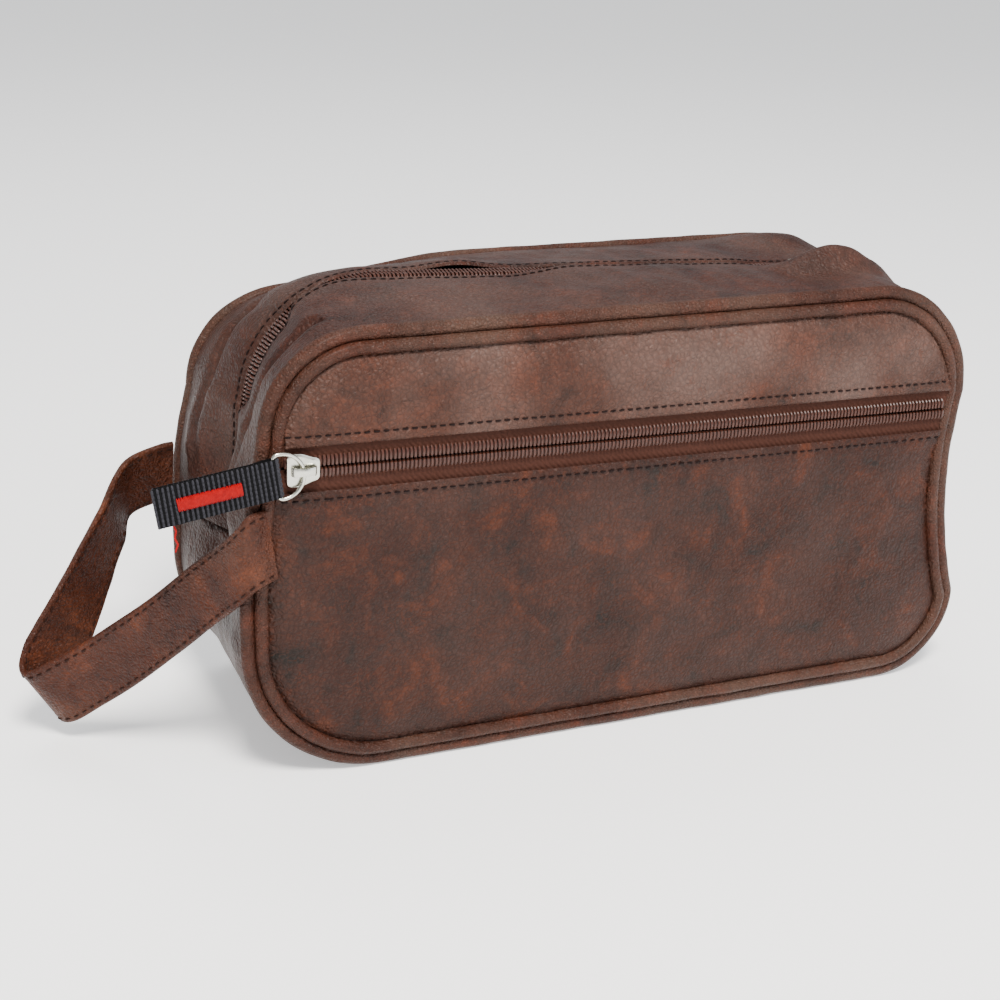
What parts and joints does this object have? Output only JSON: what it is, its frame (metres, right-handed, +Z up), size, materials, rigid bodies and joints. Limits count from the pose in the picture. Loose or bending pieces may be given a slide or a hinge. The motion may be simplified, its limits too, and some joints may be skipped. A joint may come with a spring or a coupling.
{
  "type": "shaving kit bag",
  "caption": "Soft zipped wash and shaving kit bag with piped panels, a zipped front pocket with a webbing pull tab, and a looped side carrying strap.",
  "frame": {"origin": "on the flat underside, under the middle of the seam outline and midway between the two pipings", "axes": "+X along the bag towards its right-hand side, +Y from the pocket side to the back, +Z up"},
  "size_m": [0.3224, 0.1011, 0.1494],
  "materials": {
    "leather": "mottled polyurethane leather, softly glazed",
    "strap_leather": "reddish polyurethane leather, topstitched",
    "piping": "polyurethane leather rolled round a cord",
    "tape": "woven polyester twill zip tape",
    "coil": "nylon coil",
    "metal": "nickel-plated die-cast zinc",
    "webbing": "black ribbed webbing",
    "thread": "red embroidery thread",
    "lining": "dark woven polyester lining",
    "foam": "soft polyurethane foam",
    "board": "polyethylene stiffener board",
    "cord": "piping cord"
  },
  "bodies": {
    "bag": {"front_panel_upper": "leather", "front_panel_lower": "leather", "back_panel": "leather", "gusset_bottom_band": "leather", "gusset_strip_left_front": "leather", "zip_tape_left_front": "tape", "zip_coil_left_front": "coil", "gusset_strip_left_back": "leather", "zip_tape_left_back": "tape", "zip_coil_left_back": "coil", "gusset_strip_right_front": "leather", "zip_tape_right_front": "tape", "zip_coil_right_front": "coil", "gusset_strip_right_back": "leather", "zip_tape_right_back": "tape", "zip_coil_right_back": "coil", "pocket_lining": "lining", "lining_front": "lining", "lining_back": "lining", "lining_band": "lining", "seam_binding_front": "lining", "seam_binding_back": "lining", "foam_front": "foam", "foam_back": "foam", "piping_cover_front": "piping", "piping_cover_back": "piping", "piping_cord_front": "cord", "piping_cord_back": "cord", "base_board": "board", "pocket_tape_upper": "tape", "pocket_tape_lower_left": "tape", "pocket_tape_lower_right": "tape", "pocket_coil_upper": "coil", "pocket_coil_lower_left": "coil", "pocket_coil_lower_right": "coil", "strap_end_front": "strap_leather", "strap_end_back": "strap_leather"},
    "mouth_front": {"gusset_strip_mouth_front": "leather", "zip_tape_mouth_front": "tape", "zip_coil_mouth_front": "coil"},
    "mouth_back": {"gusset_strip_mouth_back": "leather", "zip_tape_mouth_back": "tape", "zip_coil_mouth_back": "coil"},
    "main_slider": {"main_slider_body": "metal"},
    "main_ring": {"main_slider_ring": "metal"},
    "pocket_lip": {"pocket_lip": "leather", "pocket_tape_lip": "tape", "pocket_coil_lip": "coil"},
    "pocket_slider": {"pocket_slider_body": "metal"},
    "pocket_ring": {"pocket_slider_ring": "metal"},
    "pocket_tab": {"pocket_tab_webbing": "webbing", "pocket_tab_bar_tack": "thread"},
    "strap": {"strap_loop": "strap_leather"}
  },
  "joints": [
    {"name": "mouth_front_open", "type": "hinge", "parent": "bag", "child": "mouth_front", "pos_m": [0, -0.042, 0.145], "axis": [1, 0, 0], "range_deg": [0, 110]},
    {"name": "mouth_back_open", "type": "hinge", "parent": "bag", "child": "mouth_back", "pos_m": [0, 0.042, 0.145], "axis": [-1, 0, 0], "range_deg": [0, 110]},
    {"name": "main_slide", "type": "slide", "parent": "bag", "child": "main_slider", "axis": [-0.999, 0, 0.045], "range_m": [0, 0.153]},
    {"name": "main_ring_swing", "type": "hinge", "parent": "main_slider", "child": "main_ring", "pos_m": [0.0855, 0, 0.14446], "axis": [0, -1, 0], "range_deg": [0, 150]},
    {"name": "pocket_lip_open", "type": "hinge", "parent": "bag", "child": "pocket_lip", "pos_m": [0, -0.048, 0.0623], "axis": [1, 0, 0], "range_deg": [0, 25]},
    {"name": "pocket_slide", "type": "slide", "parent": "bag", "child": "pocket_slider", "axis": [0.9999, 0, -0.0136], "range_m": [0, 0.2186]},
    {"name": "pocket_ring_swing", "type": "hinge", "parent": "pocket_slider", "child": "pocket_ring", "pos_m": [-0.11279, -0.0504, 0.10403], "axis": [-0.143, 0, 0.9897], "range_deg": [0, 150]},
    {"name": "pocket_tab_swing", "type": "hinge", "parent": "pocket_ring", "child": "pocket_tab", "pos_m": [-0.12135, -0.0504, 0.1028], "axis": [0.143, 0, -0.9897], "range_deg": [-60, 0]},
    {"name": "strap_swing", "type": "hinge", "parent": "bag", "child": "strap", "pos_m": [-0.1361, 0, 0.0903], "axis": [0, 1, 0], "range_deg": [0, 60]}
  ]
}
